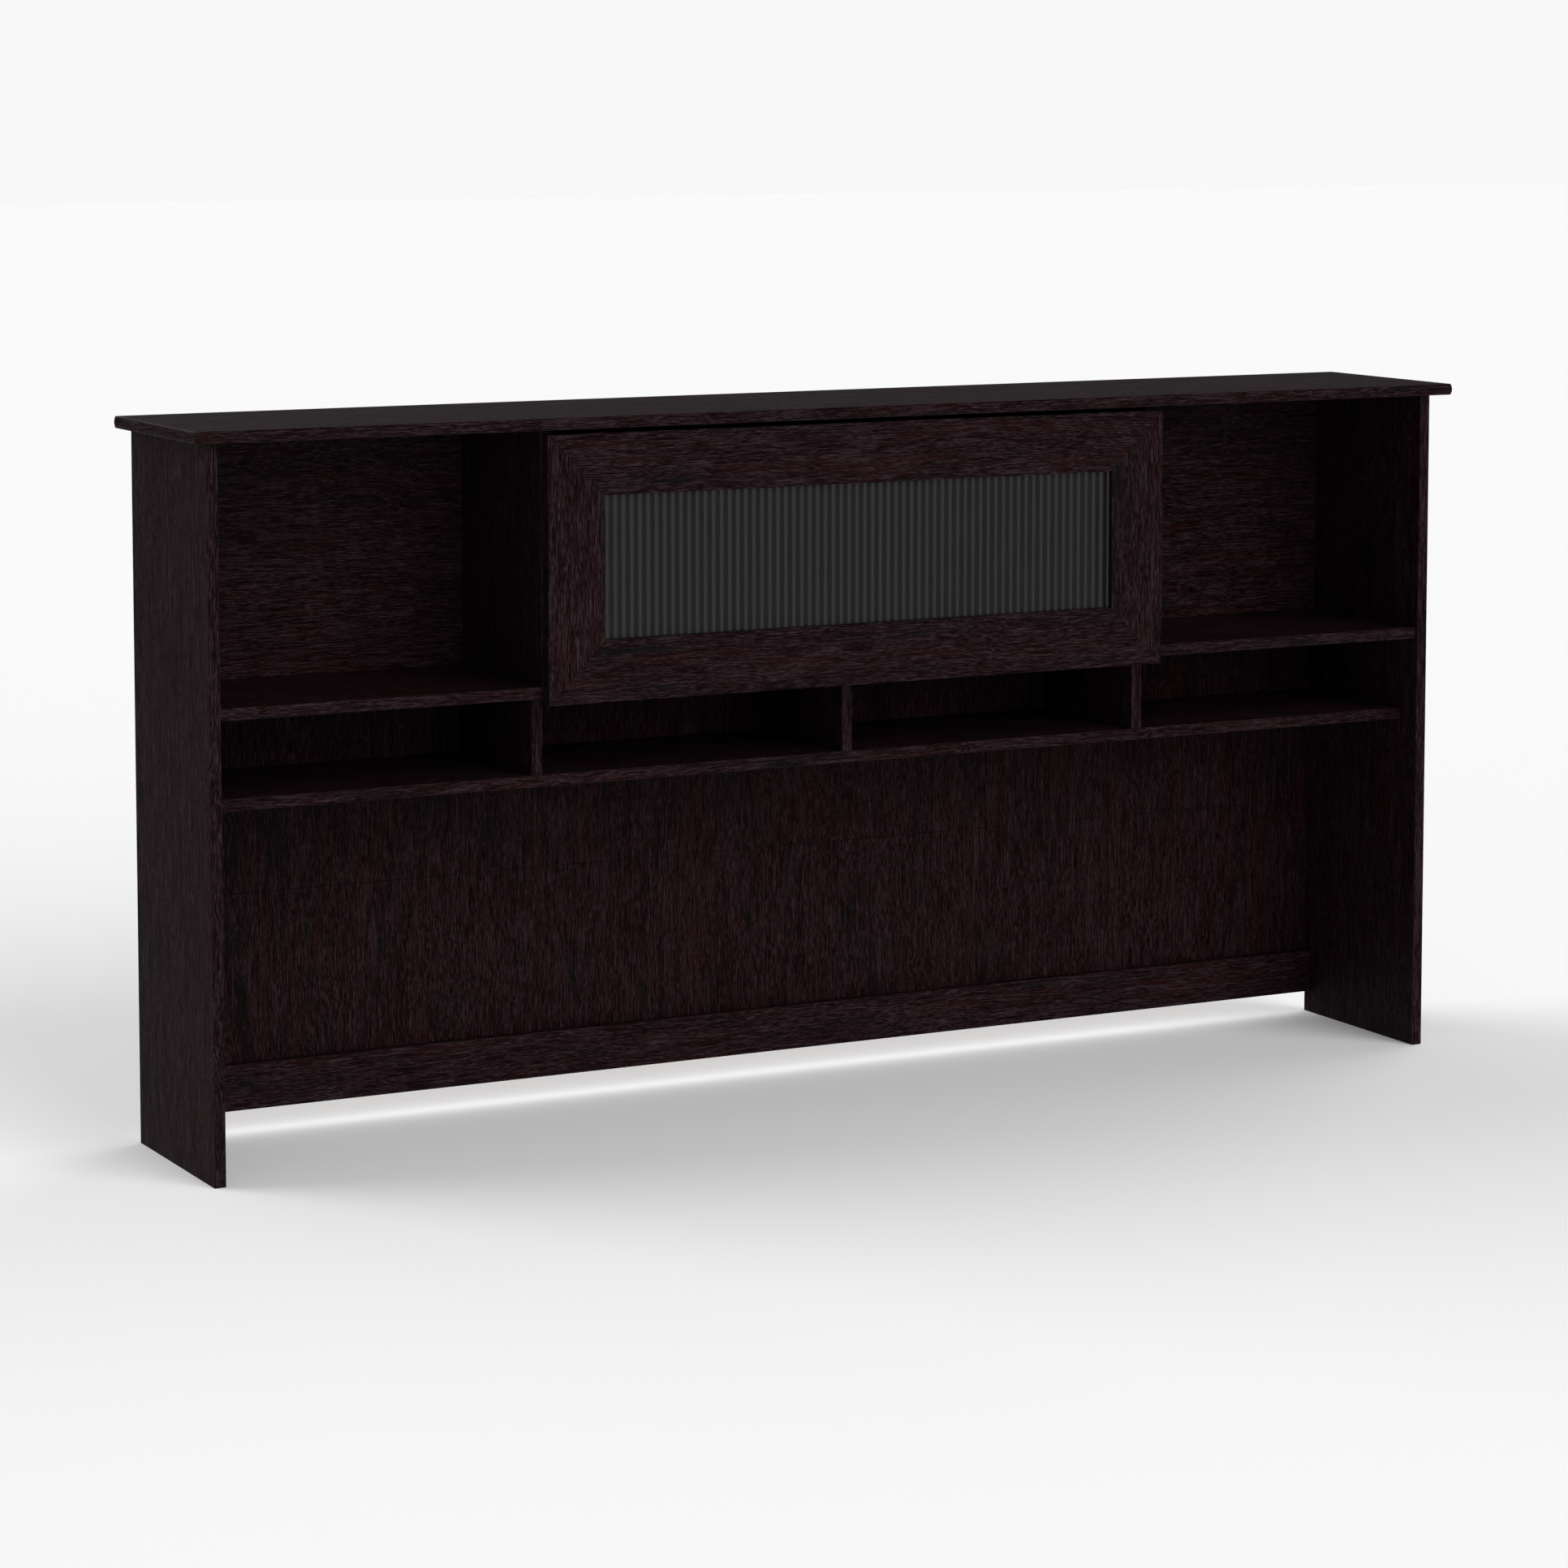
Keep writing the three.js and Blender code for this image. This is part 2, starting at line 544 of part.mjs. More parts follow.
function addHinge(side, x) {
  const hinge = new THREE.Group();
  hinge.position.set(x, hingeAxis.y, hingeAxis.z);
  hutch.add(hinge);

  const plateTop = underTop - hingeAxis.z;
  const plateBottom = plateTop - PLATE_THICKNESS;
  const pin = roundBar('x', PIN_RADIUS, -PIN_HALF_LENGTH, PIN_HALF_LENGTH, 16);
  addPiece(hinge, `${side}_hinge_cup`, hingeCup(), nickelSteel);
  addPiece(hinge, `${side}_hinge_pin`, pin, nickelSteel);
  addPiece(hinge, `${side}_hinge_arm`, hingeArm(), nickelSteel);

  const plateWidth = [-PLATE_HALF_WIDTH, PLATE_HALF_WIDTH];
  let plate = solidOf(boxAt(plateWidth, [PLATE_FRONT, PLATE_REAR], [plateBottom, plateTop]));
  const outward = Math.sign(x) * PLATE_SCREW_X;
  const screws = { inner: -outward, outer: outward };
  const screwY = (PLATE_FRONT + PLATE_REAR) / 2;
  for (const [place, screwAt] of Object.entries(screws)) {
    const hole = roundBar('z', PLATE_HOLE_RADIUS, plateBottom - OVERCUT, plateTop + OVERCUT, 20);
    plate = plate.subtract(solidOf(hole.translate(screwAt, screwY, 0)));
    const seat = [screwAt, screwY, plateBottom];
    addPiece(hinge, `${side}_hinge_${place}_screw`, plateScrew(), zincAlloy, seat);
  }
  addPiece(hinge, `${side}_hinge_plate`, geometryOf(plate), nickelSteel);
}

// ---------------------------------------------------------------- gas struts

/** Eye of a strut end, flat along x, with a hole for its stud. */
function strutEye() {
  return solidOf(roundBar('x', STAY_EYE_RADIUS, -STAY_EYE_WIDTH / 2, STAY_EYE_WIDTH / 2, 24));
}

function eyeHole() {
  return solidOf(roundBar('x', STUD_RADIUS + FIT_GAP, -STAY_EYE_WIDTH, STAY_EYE_WIDTH, 20));
}

/** Each strut lies along its own +y, from the foot pivot at 0 to the head pivot at `length`. */
function addStay(side, sign) {
  const run = { y: STAY_HEAD.y - STAY_FOOT.y, z: STAY_HEAD.z - STAY_FOOT.z };
  const length = Math.hypot(run.y, run.z);
  const stay = new THREE.Group();
  stay.position.set(sign * STAY_X, STAY_FOOT.y, STAY_FOOT.z);
  stay.rotation.x = Math.atan2(run.z, run.y);
  hutch.add(stay);

  const tube = solidOf(roundBar('y', TUBE_RADIUS, TUBE_START, TUBE_END, 24))
    .add(solidOf(roundBar('y', TUBE_NECK_RADIUS, 0, TUBE_START + OVERCUT, 16)))
    .add(strutEye())
    .subtract(solidOf(roundBar('y', BORE_RADIUS, BORE_START, TUBE_END + OVERCUT, 24)))
    .subtract(eyeHole());
  addPiece(stay, `${side}_stay_tube`, geometryOf(tube), blackSteel);

  const rod = solidOf(roundBar('y', ROD_RADIUS, ROD_START - length, 0, 20))
    .add(strutEye())
    .subtract(eyeHole());
  addPiece(stay, `${side}_stay_rod`, geometryOf(rod), nickelSteel, [0, length, 0]);

  const partitionFace = sign * (PARTITION_X - BOARD / 2 - FIT_GAP);
  const footPlate = boxAt(
    [0, BRACKET_THICKNESS],
    [-FOOT_HALF_DEPTH, FOOT_HALF_DEPTH],
    [-FOOT_HALF_HEIGHT, FOOT_HALF_HEIGHT],
  );
  const footStudEnd = Math.abs(partitionFace) - STAY_X + STAY_EYE_WIDTH / 2;
  const footStud = roundBar('x', STUD_RADIUS, BRACKET_THICKNESS / 2, footStudEnd, 20);
  const foot = geometryOf(solidOf(footPlate).add(solidOf(footStud)));
  const footSeat = [partitionFace, STAY_FOOT.y, STAY_FOOT.z];
  const turnedFoot = foot.rotateZ(sign > 0 ? Math.PI : 0);
  addPiece(hutch, `${side}_stay_foot_bracket`, turnedFoot, nickelSteel, footSeat);

  const flangeY = doorBack + FIT_GAP - STAY_HEAD.y;
  const flangeDepth = [flangeY, flangeY + BRACKET_THICKNESS];
  const studEnd = -STAY_EYE_WIDTH / 2 - FIT_GAP;
  const earX = studEnd - EAR_FROM_EYE;
  const earInner = earX + BRACKET_THICKNESS;
  const flange = boxAt([earX - HEAD_FLANGE, earInner], flangeDepth, [-HEAD_HALF_HEIGHT, HEAD_HALF_HEIGHT]);
  const ear = boxAt([earX, earInner], [flangeY, EAR_PAST_PIVOT], [-EAR_HALF_HEIGHT, EAR_HALF_HEIGHT]);
  const stud = roundBar('x', STUD_RADIUS, earX + BRACKET_THICKNESS / 2, studEnd, 20);
  const bracket = solidOf(flange).add(solidOf(ear)).add(solidOf(stud));
  const head = geometryOf(sign > 0 ? bracket : bracket.mirror([1, 0, 0]));
  const headSeat = [sign * STAY_X, STAY_HEAD.y, STAY_HEAD.z];
  addPiece(hutch, `${side}_stay_head_bracket`, head, nickelSteel, headSeat);
}

// ---------------------------------------------------------------- assembly

addTopPanel();
addSides();
addShelf('lower_shelf', lowerShelfFront, LOWER_SHELF_Z);
addShelf('upper_shelf', upperShelfFront, UPPER_SHELF_Z);
addUpperBack();
addUprights();
addLowerBack();

const door = new THREE.Group();
hutch.add(door);
addDoorFrame(door);
addGlazing(door);
addBumpers(door);

addHinge('left', -HINGE_X);
addHinge('right', HINGE_X);
addStay('left', -1);
addStay('right', 1);

export default hutch;
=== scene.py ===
import json
import math

import bmesh
import bpy
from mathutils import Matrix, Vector


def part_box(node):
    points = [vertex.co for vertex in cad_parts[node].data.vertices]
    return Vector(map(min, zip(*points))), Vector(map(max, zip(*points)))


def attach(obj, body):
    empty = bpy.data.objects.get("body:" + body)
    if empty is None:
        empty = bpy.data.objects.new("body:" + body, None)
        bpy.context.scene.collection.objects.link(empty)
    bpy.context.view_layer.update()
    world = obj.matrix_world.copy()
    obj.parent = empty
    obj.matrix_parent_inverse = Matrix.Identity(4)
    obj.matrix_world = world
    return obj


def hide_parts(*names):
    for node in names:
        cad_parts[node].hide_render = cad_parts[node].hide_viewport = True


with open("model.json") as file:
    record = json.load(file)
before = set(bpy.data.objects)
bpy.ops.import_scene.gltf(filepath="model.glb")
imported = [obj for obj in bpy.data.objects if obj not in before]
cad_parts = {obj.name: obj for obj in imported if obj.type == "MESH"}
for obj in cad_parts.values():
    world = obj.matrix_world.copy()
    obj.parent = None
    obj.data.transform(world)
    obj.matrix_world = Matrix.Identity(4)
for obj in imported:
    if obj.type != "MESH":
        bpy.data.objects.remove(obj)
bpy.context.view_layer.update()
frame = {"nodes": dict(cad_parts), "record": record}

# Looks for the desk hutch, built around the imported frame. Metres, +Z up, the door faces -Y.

nodes = frame["nodes"]
MM = 0.001

# ---------------------------------------------------------------- camera

CAMERA_PLACE = (-2.752, -5.195, 1.343)
CAMERA_YAW = math.radians(27.51)  # to the right of +Y
CAMERA_PITCH = math.radians(5.41)  # below the horizon
CAMERA_LENS = 103.6
CAMERA_SENSOR = 36
CAMERA_SHIFT_Y = -0.18
CAMERA_REACH = 200


def make_camera():
    data = bpy.data.cameras.new("camera")
    data.lens = CAMERA_LENS
    data.sensor_width = CAMERA_SENSOR
    data.shift_y = CAMERA_SHIFT_Y
    data.clip_end = CAMERA_REACH
    camera = bpy.data.objects.new("camera", data)
    camera.location = CAMERA_PLACE
    camera.rotation_euler = (math.pi / 2 - CAMERA_PITCH, 0, -CAMERA_YAW)
    bpy.context.scene.collection.objects.link(camera)
    bpy.context.scene.camera = camera


make_camera()

# ---------------------------------------------------------------- shader helpers

NOISE_LOW = 0.3  # nearly all of a noise lies between this and NOISE_HIGH
NOISE_MIDDLE = 0.5
NOISE_HIGH = 0.7


class Tree:
    """A node tree that is written as nested calls: each adds a node and returns what it puts out."""

    def __init__(self, tree):
        self.tree = tree

    def feed(self, made, inputs):
        """Links each input that is given a socket, and sets each that is given a constant."""
        for key, value in inputs.items():
            if isinstance(value, bpy.types.NodeSocket):
                self.tree.links.new(value, made.inputs[key])
            else:
                made.inputs[key].default_value = value

    def node(self, kind, inputs=None, out=0, **settings):
        made = self.tree.nodes.new(kind)
        for name, value in settings.items():
            setattr(made, name, value)
        self.feed(made, inputs or {})
        return made.outputs[out]

    def place(self):
        """Where the point is, in the object's own space."""
        return self.node("ShaderNodeTexCoord", out="Object")

    def normal(self):
        """Which way the surface faces, in the object's own space."""
        return self.node("ShaderNodeTexCoord", out="Normal")

    def split(self, vector):
        """The X, Y and Z of a vector."""
        made = self.tree.nodes.new("ShaderNodeSeparateXYZ")
        self.feed(made, {0: vector})
        return made.outputs

    def joined(self, x, y, z):
        return self.node("ShaderNodeCombineXYZ", {0: x, 1: y, 2: z})

    def scaled(self, vector, x, y, z):
        return self.node("ShaderNodeVectorMath", {0: vector, 1: (x, y, z)}, operation="MULTIPLY")

    def moved(self, vector, shift):
        return self.node("ShaderNodeVectorMath", {0: vector, 1: shift}, operation="ADD")

    def math(self, operation, first, second=0.0):
        return self.node("ShaderNodeMath", {0: first, 1: second}, operation=operation)

    def noise(self, vector, detail, roughness=0.5, scale=1.0, distortion=0.0):
        return self.node("ShaderNodeTexNoise", {
            "Vector": vector, "Scale": scale, "Detail": detail,
            "Roughness": roughness, "Distortion": distortion,
        })

    def remap(self, value, low, high, to_low=0.0, to_high=1.0):
        return self.node("ShaderNodeMapRange", {
            "Value": value, "From Min": low, "From Max": high,
            "To Min": to_low, "To Max": to_high,
        })

    def spread(self, noise, to_low, to_high):
        """A noise as a value that runs from to_low to to_high."""
        return self.remap(noise, NOISE_LOW, NOISE_HIGH, to_low, to_high)

    def mix(self, factor, first, second, blend="MIX"):
        return self.node(
            "ShaderNodeMix", {0: factor, 6: first, 7: second}, out=2,
            data_type="RGBA", blend_type=blend,
        )

    def ramp(self, factor, stops):
        made = self.tree.nodes.new("ShaderNodeValToRGB")
        self.feed(made, {0: factor})
        elements = made.color_ramp.elements
        while len(elements) < len(stops):
            elements.new(0.5)
        for element, (place, colour) in zip(elements, stops):
            element.position = place
            element.color = colour
        return made.outputs[0]

    def bump(self, height, strength, distance):
        return self.node("ShaderNodeBump", {
            "Height": height, "Strength": strength, "Distance": distance,
        })


def srgb(red, green, blue):
    """Display colour, 0 to 255, as the linear colour that a shader takes."""
    linear = []
    for value in (red, green, blue):
        value /= 255
        linear.append(value / 12.92 if value <= 0.04045 else ((value + 0.055) / 1.055) ** 2.4)
    return (*linear, 1.0)


def dimmed(colour, share, lift=0.0):
    return (*(share * channel + lift for channel in colour[:3]), 1.0)


def new_material(name):
    """(material, its Tree, its Principled shader)"""
    material = bpy.data.materials.new(name)
    material.use_nodes = True
    shader = material.node_tree.nodes["Principled BSDF"]
    return material, Tree(material.node_tree), shader


# ---------------------------------------------------------------- oak laminate

OAK_TONES = (
    (0.0, srgb(8, 1, 2)),
    (0.3, srgb(16, 5, 7)),
    (0.5, srgb(22, 10, 13)),
    (0.7, srgb(29, 18, 21)),
    (1.0, srgb(44, 33, 37)),
)
OAK_RED = srgb(27, 7, 6)
OAK_BLACK = srgb(9, 9, 8)
OAK_WORN = srgb(36, 24, 26)
OAK_SHEEN = 0.06  # specular level of the paper laminate
OAK_SMOOTH = 0.44
OAK_ROUGH = 0.58
OAK_EMBOSSING = (0.2, 0.2 * MM)  # strength and depth

# Waves in the grain: frequency per metre on X, Y and Z, and how far they push it.
GRAIN_WAVES = (((7, 7, 6), 0.016), ((40, 40, 35), 0.0014))
# Layers of the grain: frequency per metre across it and along it, detail and roughness.
SHORT_PORES = (1500, 95, 1, 0.4)
LONG_PORES = (1050, 22, 1, 0.4)
STREAKS = (230, 7, 2, 0.6)
FLAMES = (11, 1.5, 1.5, 0.5)
PATCHES = (45, 5, 4, 0.65)

PORE_REACH = 0.115  # half the stretch of noise that runs from darkest to palest
FLAME_RINGS = 62.0  # how closely the rings of the flame figure follow each other
STREAK_TONE = 0.14  # how much each layer lightens and darkens
RING_TONE = 0.05
RAGGED_EDGE = 0.08  # how much the pores fray the edges of the patches
# Coloured patches: where in their noise they start and are full, and how strong they get.
RED_PATCHES = (0.50, 0.60, 0, 0.85)
BLACK_PATCHES = (0.43, 0.34, 0, 0.75)
RED_TONES = (0.75, 0.35)  # paler than the first takes no red, darker than the second takes it all

END_FACE = 0.75  # how squarely a face looks along the grain to count as a board's end
SEED_STEP = (0.613, 0.377, 1.171)  # metres that each seed moves the grain by


def grain_space(tree, axis, seed):
    """Object space with the grain turned to Z, and moved to the stretch of it that the seed picks.

    On the faces that would show end grain it runs along Y, as printed edging does."""
    along = tree.split(tree.normal())["xyz".index(axis)]
    end_face = tree.math("GREATER_THAN", tree.math("ABSOLUTE", along), END_FACE)
    x, y, z = tree.split(tree.place())
    board = tree.joined(z, y, x) if axis == "x" else tree.joined(x, y, z)
    edging = tree.joined(x, z, y)
    turned = tree.mix(end_face, board, edging)
    return tree.moved(turned, [step * seed for step in SEED_STEP])


def sideways(tree, space, frequency, reach):
    """space pushed across the grain by a noise, so that straight grain runs in waves."""
    push = tree.noise(tree.scaled(space, *frequency), detail=1)
    push = tree.math("MULTIPLY", tree.math("SUBTRACT", push, NOISE_MIDDLE), reach)
    return tree.moved(space, tree.joined(push, push, 0.0))


def grain_layer(tree, space, layer, fineness=1.0):
    across, along, detail, roughness = layer
    across *= fineness
    return tree.noise(tree.scaled(space, across, across, along), detail, roughness)


def oak_layers(tree, axis, seed, fineness=1.0, reach=PORE_REACH):
    """(colour, height) of the printed and embossed oak: fine wavy pores over a flame figure."""
    space = grain_space(tree, axis, seed)
    for frequency, push in GRAIN_WAVES:
        space = sideways(tree, space, frequency, push)

    short = grain_layer(tree, space, SHORT_PORES, fineness)
    long = grain_layer(tree, space, LONG_PORES, fineness)
    pores = tree.mix(0.5, short, long)
    streaks = grain_layer(tree, space, STREAKS)
    figure = grain_layer(tree, space, FLAMES)
    rings = tree.math("SINE", tree.math("MULTIPLY", figure, FLAME_RINGS))
    patches = grain_layer(tree, space, PATCHES)

    tone = tree.remap(pores, NOISE_MIDDLE - reach, NOISE_MIDDLE + reach)
    tone = tree.math("ADD", tone, tree.spread(streaks, -STREAK_TONE, STREAK_TONE))
    tone = tree.math("ADD", tone, tree.remap(rings, -1, 1, -RING_TONE, RING_TONE))
    colour = tree.ramp(tone, OAK_TONES)
    ragged = tree.math("ADD", patches, tree.spread(pores, -RAGGED_EDGE, RAGGED_EDGE))
    red = tree.math("MULTIPLY", tree.remap(ragged, *RED_PATCHES), tree.remap(tone, *RED_TONES))
    colour = tree.mix(red, colour, OAK_RED)
    colour = tree.mix(tree.remap(ragged, *BLACK_PATCHES), colour, OAK_BLACK)
    return colour, tone


def oak(name, axis, seed):
    material, tree, shader = new_material(name)
    colour, height = oak_layers(tree, axis, seed)
    tree.feed(shader, {
        "Base Color": colour,
        "Roughness": tree.remap(height, 0, 1, OAK_ROUGH, OAK_SMOOTH),
        "Specular IOR Level": OAK_SHEEN,
        "Normal": tree.bump(height, *OAK_EMBOSSING),
    })
    return material


RUBBED = (0.45, 0.7, 0.1, 0.7)  # where rubbing starts and is full, and how much it pales the oak
RUBBED_ROUGH = 0.42
RUBBED_SMOOTH = 0.3


def oak_arris(name, axis):
    """The rounded edges of a board: the same oak, rubbed paler in places and more polished."""
    material, tree, shader = new_material(name)
    colour, _ = oak_layers(tree, axis, 0)
    rubbed = tree.noise(tree.place(), scale=35, detail=4, roughness=0.7)
    tree.feed(shader, {
        "Base Color": tree.mix(tree.remap(rubbed, *RUBBED), colour, OAK_WORN),
        "Roughness": tree.spread(rubbed, RUBBED_ROUGH, RUBBED_SMOOTH),
        "Specular IOR Level": OAK_SHEEN,
    })
    return material


HARDBOARD_FINENESS = 1.15  # of the print on the folding back, beside the boards
HARDBOARD_REACH = 0.09  # in place of PORE_REACH, for more contrast
HARDBOARD_TINT = (0.84, 0.73, 0.72, 1.0)
HARDBOARD_PRINT_ROUGH = 0.56
FIBRE_ROUGH = 0.85
FIBRE_TONES = (
    (0.32, srgb(46, 31, 21)),
    (0.5, srgb(78, 56, 40)),
    (0.68, srgb(112, 84, 61)),
)
FIBRE_STAIN = srgb(58, 41, 30)
STAINS = (0.4, 0.65, 0, 0.6)  # where in their noise they start and are full, and how strong
REAR_FACE = 0.5  # the normal's Y from which a face is a rear one


def printed_hardboard(name, seed):
    """Oak paper on the front, bare brown fibre board on the rear."""
    material, tree, shader = new_material(name)
    colour, height = oak_layers(tree, "z", seed, HARDBOARD_FINENESS, HARDBOARD_REACH)
    colour = tree.mix(1.0, colour, HARDBOARD_TINT, "MULTIPLY")
    place = tree.place()
    fibres = tree.noise(place, scale=260, detail=5, roughness=0.75, distortion=1.5)
    stains = tree.noise(place, scale=22, detail=6, roughness=0.65)
    raw = tree.ramp(fibres, FIBRE_TONES)
    raw = tree.mix(tree.remap(stains, *STAINS), raw, FIBRE_STAIN)
    facing = tree.split(tree.node("ShaderNodeNewGeometry", out="True Normal"))
    rear = tree.math("GREATER_THAN", facing[1], REAR_FACE)
    tree.feed(shader, {
        "Base Color": tree.mix(rear, colour, raw),
        "Roughness": tree.remap(rear, 0, 1, HARDBOARD_PRINT_ROUGH, FIBRE_ROUGH),
        "Specular IOR Level": OAK_SHEEN,
        "Normal": tree.bump(height, *OAK_EMBOSSING),
    })
    return material


# ---------------------------------------------------------------- glass, metal, plastic


GLASS_SMOOTH = 0.16
GLASS_ROUGH = 0.24


def smoked_glass():
    material, tree, shader = new_material("fluted_glass")
    cloud = tree.noise(tree.place(), scale=30, detail=2)
    tree.feed(shader, {
        "Base Color": srgb(25, 23, 24),
        "Roughness": tree.spread(cloud, GLASS_SMOOTH, GLASS_ROUGH),
        "IOR": 1.46,
        "Transmission Weight": 0.2,
    })
    return material


ROUGHNESS_STRAY = 0.12  # how much rougher a finish gets in places
BRUSH_MARKS = (400, 6000, 6000)  # frequency per metre on X, Y and Z
PITTING = 0.3
METAL_RELIEF = (0.15, 0.05 * MM)  # strength and depth
TARNISH = 0.6  # share of the colour that tarnish leaves
TARNISHED = (0.35, 0.7, 0, 0.6)  # where tarnish starts and is full, and how much there is
# Painted shade for the slot between the door and the top: its colour, then the height and the facing
# where it starts and is full.
SLOT_SHADE = srgb(30, 27, 25)
SLOT_SHADE_HEIGHT = (0.893, 0.896)  # metres up, where it starts and is full
SLOT_SHADE_FACING = (-0.4, -0.8)  # the normal's Y where it starts and is full


def metal(name, colour, roughness, brushing):
    """Plated or cast metal with faint brushing along X, cloudy tarnish and finer pitting.

    Painted shade darkens the faces that look out through the slot between the door and the top, where
    the slot lies in shadow."""
    material, tree, shader = new_material(name)
    place = tree.place()
    marks = tree.noise(tree.scaled(place, *BRUSH_MARKS), detail=2)
    pits = tree.noise(place, scale=3000, detail=1)
    cloud = tree.noise(place, scale=90, detail=3)
    worn = tree.mix(tree.remap(cloud, *TARNISHED), colour, dimmed(colour, TARNISH))
    # Painted shade of the slot: metal that is high up and faces the front is darkened.
    high = tree.remap(tree.split(place)[2], *SLOT_SHADE_HEIGHT)
    frontal = tree.remap(tree.split(tree.normal())[1], *SLOT_SHADE_FACING)
    slot_shade = tree.math("MULTIPLY", high, frontal)
    brushed = tree.math("MULTIPLY", marks, brushing)
    relief = tree.math("ADD", brushed, tree.math("MULTIPLY", pits, PITTING))
    tree.feed(shader, {
        "Base Color": tree.mix(slot_shade, worn, SLOT_SHADE),
        "Metallic": 1.0,
        "Roughness": tree.spread(cloud, roughness, roughness + ROUGHNESS_STRAY),
        "Normal": tree.bump(relief, *METAL_RELIEF),
    })
    return material


PLAIN_SHEEN = 0.5  # specular level of most coatings and plastics
SKIN_RELIEF = (0.2, 0.1 * MM)  # strength and depth
FADED_COLOUR = 0.85  # share of the colour that fading leaves
FADED_LIFT = 0.004
FADED_PATCHES = 0.3  # how far the most faded place has gone


def coated(name, colour, roughness, skin_frequency, sheen=PLAIN_SHEEN):
    """Powder coat, moulded plastic, rubber and paper: an even colour with a fine skin."""
    material, tree, shader = new_material(name)
    place = tree.place()
    skin = tree.noise(place, scale=skin_frequency, detail=2)
    cloud = tree.noise(place, scale=25, detail=2)
    faded = dimmed(colour, FADED_COLOUR, FADED_LIFT)
    tree.feed(shader, {
        "Base Color": tree.mix(tree.spread(cloud, 0, FADED_PATCHES), colour, faded),
        "Roughness": tree.spread(skin, roughness, roughness + ROUGHNESS_STRAY),
        "Specular IOR Level": sheen,
        "Normal": tree.bump(skin, *SKIN_RELIEF),
    })
    return material


# ---------------------------------------------------------------- dressing the CAD nodes

UPRIGHT = ("side_panel", "partition", "divider", "stile")
BOARD_ARRIS = 0.6 * MM
DOOR_ARRIS = 0.3 * MM
FITTING_ARRIS = 0.15 * MM
ARRIS_ANGLE = math.radians(40)
WELD_REACH = 0.01 * MM


def soften(obj, width, arris=None):
    """Joins the split corners of a CAD mesh and rounds its arrises."""
    weld = obj.modifiers.new("weld", "WELD")
    weld.merge_threshold = WELD_REACH
    bevel = obj.modifiers.new("arris", "BEVEL")
    bevel.width = width
    bevel.segments = 2
    bevel.limit_method = "ANGLE"
    bevel.angle_limit = ARRIS_ANGLE
    if arris:
        obj.data.materials.append(arris)
        bevel.material = len(obj.data.materials) - 1


def dress_nodes():
    slots = {part["node"]: part["material_slot"] for part in frame["record"]["subparts"]}
    shared = {
        "nickel_steel": metal("nickel_steel", srgb(176, 174, 168), roughness=0.22, brushing=1.0),
        "zinc_alloy": metal("zinc_alloy", srgb(168, 168, 165), roughness=0.38, brushing=0.4),
        "black_steel": coated("black_steel", srgb(24, 24, 26), roughness=0.35, skin_frequency=2500),
        "black_plastic": coated("black_plastic", srgb(30, 30, 30), roughness=0.55, skin_frequency=3500),
        "clear_rubber": coated("clear_rubber", srgb(205, 204, 198), roughness=0.4, skin_frequency=1500),
    }
    arrises = {axis: oak_arris(f"oak_arris_{axis}", axis) for axis in "xz"}
    for seed, name in enumerate(sorted(nodes), start=1):
        obj = nodes[name]
        slot = slots[name]
        obj.data.materials.clear()
        if slot == "oak_laminate":
            axis = "z" if name.endswith(UPRIGHT) else "x"
            obj.data.materials.append(oak(f"oak_{name}", axis, seed))
            if name.startswith("door"):
                soften(obj, DOOR_ARRIS)
            else:
                soften(obj, BOARD_ARRIS, arrises[axis])
        elif slot in shared:
            obj.data.materials.append(shared[slot])
            soften(obj, FITTING_ARRIS)


dress_nodes()

# ---------------------------------------------------------------- mesh helpers

# Zinc as the frame brings it, even and without the marks of metal(). Nails and screw heads wear it.
PLAIN_ZINC = bpy.data.materials["zinc_alloy"]


def add_object(name, data, material):
    data.materials.append(material)
    obj = bpy.data.objects.new(name, data)
    bpy.context.scene.collection.objects.link(obj)
    return obj


def add_faces(name, verts, faces, material):
    data = bpy.data.meshes.new(name)
    data.from_pydata(verts, [], faces)
    data.validate()
    return add_object(name, data, material)


def add_shape(name, mesh, material):
    """A flat-shaded object from a bmesh, which is used up."""
    data = bpy.data.meshes.new(name)
    mesh.to_mesh(data)
    mesh.free()
    return add_object(name, data, material)


def add_smooth_shape(name, mesh, material):
    """A smooth-shaded object from a bmesh, whose faces are turned outwards first."""
    bmesh.ops.recalc_face_normals(mesh, faces=mesh.faces[:])
    obj = add_shape(name, mesh, material)
    obj.data.shade_smooth()
    return obj


def around(sides):
    """The angles of a loop's corners."""
    return [2 * math.pi * k / sides for k in range(sides)]


def bridge(mesh, outer, inner):
    """A band of quads between two loops of equally many corners."""
    for k in range(len(outer)):
        following = (k + 1) % len(outer)
        mesh.faces.new((outer[k], outer[following], inner[following], inner[k]))


# ---------------------------------------------------------------- fluted pane

FLUTE_PITCH = 11.43 * MM
FLUTE_DEPTH = 1.3 * MM
STEPS_PER_FLUTE = 16
FLUTE_SMOOTHING = math.radians(50)
LEVEL_FACE = 0.5  # the normal's Z from which a face is one of the two flat ends


